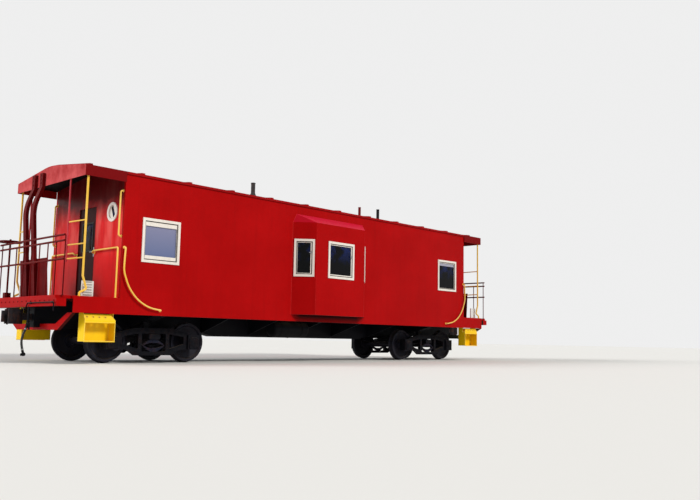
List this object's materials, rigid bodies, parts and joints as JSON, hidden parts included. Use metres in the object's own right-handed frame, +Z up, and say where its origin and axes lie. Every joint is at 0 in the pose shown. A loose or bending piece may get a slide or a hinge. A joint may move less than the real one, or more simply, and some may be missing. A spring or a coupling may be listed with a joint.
{
  "type": "bay-window railway caboose",
  "caption": "Railway crew car with a bay window on each side, open end platforms, swinging end doors and two swivelling four-wheel trucks.",
  "frame": {"origin": "middle of the car's length and width, on the plane under the wheel flanges", "axes": "+X along the car to the rear end, +Y across it to the far side, +Z up"},
  "size_m": [14.8518, 3.88, 4.2431],
  "materials": {
    "body_red": "satin red paint, a little weathered",
    "roof_red": "satin red paint on sheet metal",
    "deck_red": "dark red paint, worn",
    "handrail_yellow": "gloss yellow paint",
    "frame_black": "matt black paint, dusty",
    "cast_steel": "matt, dusty",
    "wheel_steel": "dark, treads bright",
    "window_white": "cream white paint",
    "glass": "clear window glass",
    "stack_black": "sooty black",
    "hose_rubber": "black rubber",
    "grating_grey": "galvanised",
    "cabin_wood": "worn floor boards"
  },
  "bodies": {
    "car_body": {"centre_sill": "frame_black", "cross_bearers": "frame_black", "side_sills": "frame_black", "floor_deck": "cabin_wood", "side_wall_near": "body_red", "side_wall_far": "body_red", "bay_near": "body_red", "bay_far": "body_red", "end_wall_front": "body_red", "end_wall_rear": "body_red", "roof": "roof_red", "platform_decks": "body_red", "end_sills": "body_red", "step_boxes": "handrail_yellow", "curved_posts": "deck_red", "end_railings": "deck_red", "corner_ladders": "handrail_yellow", "wall_handrails": "handrail_yellow", "side_handrails": "handrail_yellow", "grating_panels": "grating_grey", "window_frames": "window_white", "bay_window_frames_near": "window_white", "bay_window_frames_far": "window_white", "window_glass": "glass", "stove_stack": "stack_black", "roof_vents": "deck_red", "couplers": "cast_steel", "coupler_knuckles": "cast_steel", "uncoupling_levers": "grating_grey", "brake_hose_front": "hose_rubber", "brake_hose_rear": "hose_rubber", "hose_pipes": "frame_black", "hose_coupling_front": "cast_steel", "hose_coupling_rear": "cast_steel", "hand_brake": "deck_red", "air_brake_gear": "frame_black"},
    "door_front": {"door_front": "deck_red", "door_front_glass": "glass"},
    "truck_front": {"truck_front_side_frames": "cast_steel", "truck_front_bolster": "cast_steel", "truck_front_springs": "frame_black", "truck_front_brakes": "cast_steel"},
    "wheelset_front_a": {"wheels_front_a": "wheel_steel", "axle_front_a": "wheel_steel"},
    "wheelset_front_b": {"wheels_front_b": "wheel_steel", "axle_front_b": "wheel_steel"},
    "door_rear": {"door_rear": "deck_red", "door_rear_glass": "glass"},
    "truck_rear": {"truck_rear_side_frames": "cast_steel", "truck_rear_bolster": "cast_steel", "truck_rear_springs": "frame_black", "truck_rear_brakes": "cast_steel"},
    "wheelset_rear_a": {"wheels_rear_a": "wheel_steel", "axle_rear_a": "wheel_steel"},
    "wheelset_rear_b": {"wheels_rear_b": "wheel_steel", "axle_rear_b": "wheel_steel"}
  },
  "joints": [
    {"name": "truck_front_swivel", "type": "hinge", "parent": "car_body", "child": "truck_front", "pos_m": [-4.6765, 0, 0.676], "axis": [0, 0, 1], "range_deg": [-6, 6]},
    {"name": "wheelset_front_a_spin", "type": "hinge", "parent": "truck_front", "child": "wheelset_front_a", "pos_m": [-5.6465, 0, 0.447], "axis": [0, 1, 0], "continuous": true},
    {"name": "wheelset_front_b_spin", "type": "hinge", "parent": "truck_front", "child": "wheelset_front_b", "pos_m": [-3.7065, 0, 0.447], "axis": [0, 1, 0], "continuous": true},
    {"name": "door_front_swing", "type": "hinge", "parent": "car_body", "child": "door_front", "pos_m": [-5.7225, 0.384, 1.5], "axis": [0, 0, 1], "range_deg": [0, 95]},
    {"name": "truck_rear_swivel", "type": "hinge", "parent": "car_body", "child": "truck_rear", "pos_m": [4.6765, 0, 0.676], "axis": [0, 0, 1], "range_deg": [-6, 6]},
    {"name": "wheelset_rear_a_spin", "type": "hinge", "parent": "truck_rear", "child": "wheelset_rear_a", "pos_m": [3.7065, 0, 0.447], "axis": [0, 1, 0], "continuous": true},
    {"name": "wheelset_rear_b_spin", "type": "hinge", "parent": "truck_rear", "child": "wheelset_rear_b", "pos_m": [5.6465, 0, 0.447], "axis": [0, 1, 0], "continuous": true},
    {"name": "door_rear_swing", "type": "hinge", "parent": "car_body", "child": "door_rear", "pos_m": [5.7225, -0.384, 1.5], "axis": [0, 0, 1], "range_deg": [0, 95]}
  ]
}
